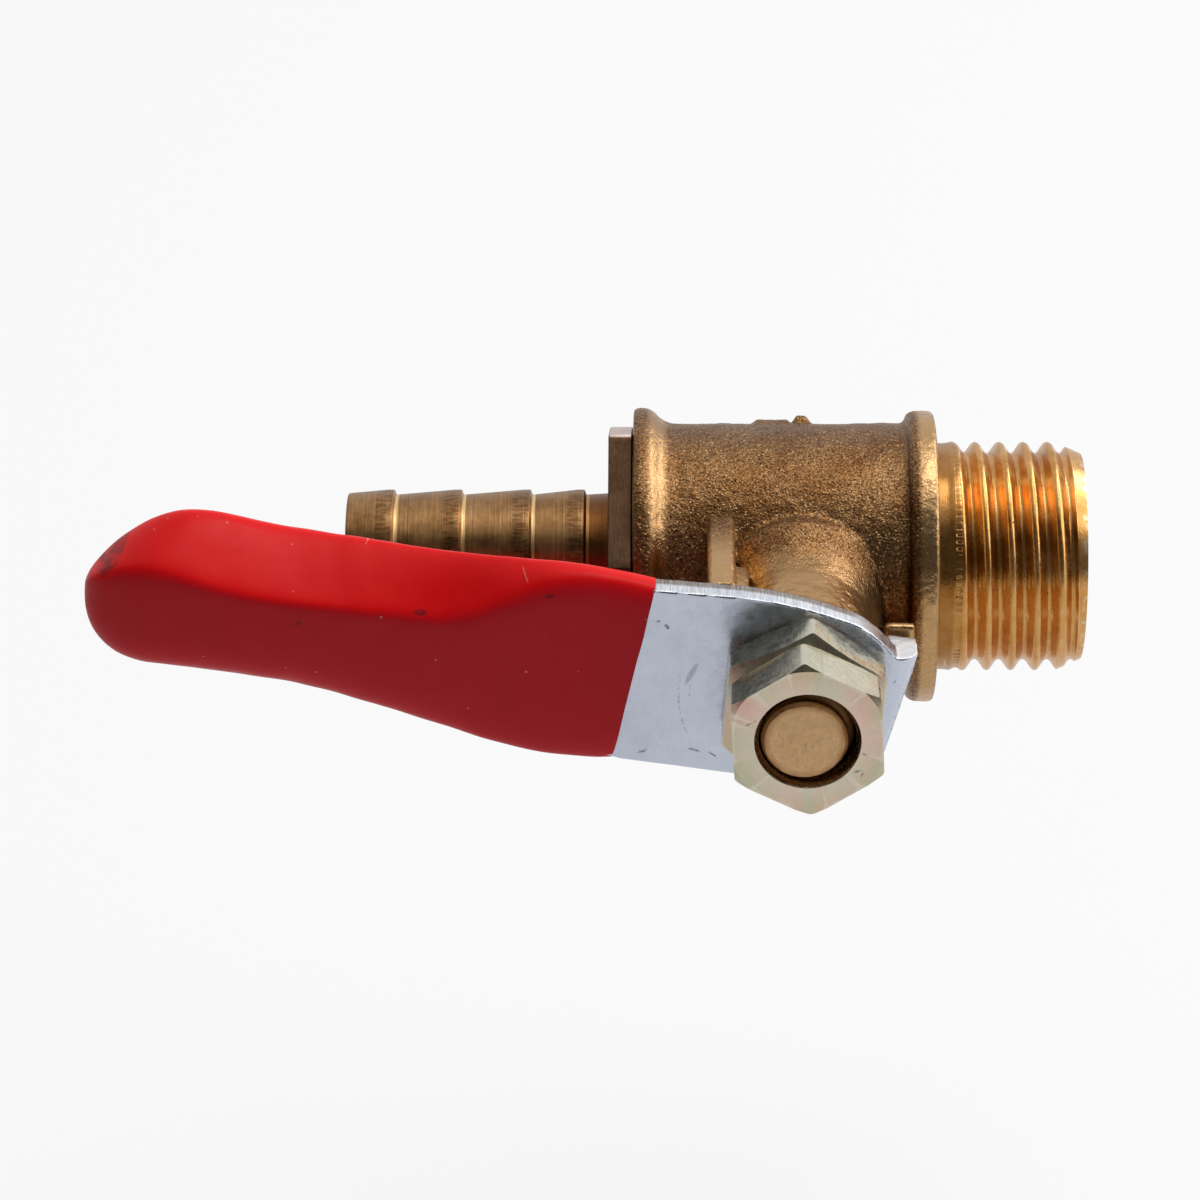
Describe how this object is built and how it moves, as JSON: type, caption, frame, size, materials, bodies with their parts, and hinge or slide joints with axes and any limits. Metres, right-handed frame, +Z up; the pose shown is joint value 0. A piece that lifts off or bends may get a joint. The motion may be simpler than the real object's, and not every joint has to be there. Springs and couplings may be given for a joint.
{
  "type": "mini ball valve",
  "caption": "Small brass ball valve with a male pipe thread on one end, a hose barb on the other and a dipped lever handle.",
  "frame": {"origin": "centre of the stem's flat outer end face, on the lever's turning axis", "axes": "+X along the pipe from the hose barb to the male thread, -Y out along the stem, +Z up across the pipe; the pipe's axis is at Y = 21.2 mm"},
  "size_m": [0.0538, 0.0294, 0.0177],
  "materials": {
    "cast_brass": "sand-cast and shot-blasted brass, machined bright on the thread",
    "turned_brass": "turned brass, slightly tarnished",
    "plated_ball": "polished plated brass",
    "seat_plastic": "white PTFE",
    "stem_brass": "turned brass with a sawn flat end",
    "seal_rubber": "black nitrile rubber",
    "zinc_steel": "bright blue-white zinc plating with small scratches",
    "red_vinyl": "dip-moulded soft vinyl, satin gloss",
    "yellow_zinc": "yellow zinc passivate with faint pink and green tints"
  },
  "bodies": {
    "body": {"valve_body": "cast_brass", "barb_fitting": "turned_brass", "seat_ring_inlet": "seat_plastic", "seat_ring_outlet": "seat_plastic"},
    "lever": {"stem": "stem_brass", "stem_thrust_washer": "seat_plastic", "stem_oring_lower": "seal_rubber", "stem_oring_upper": "seal_rubber", "lever_plate": "zinc_steel", "grip_sleeve": "red_vinyl", "lever_nut": "yellow_zinc", "lock_nut": "yellow_zinc"},
    "ball": {"ball": "plated_ball"}
  },
  "joints": [
    {"name": "lever_turn", "type": "hinge", "parent": "body", "child": "lever", "pos_m": [0, 0, 0], "axis": [0, -1, 0], "range_deg": [0, 90]},
    {"name": "ball_turn", "type": "hinge", "parent": "body", "child": "ball", "pos_m": [0, 0, 0], "axis": [0, -1, 0], "range_deg": [0, 90]}
  ],
  "couplings": [
    {"joint": "ball_turn", "follows": "lever_turn", "ratio": 1}
  ]
}
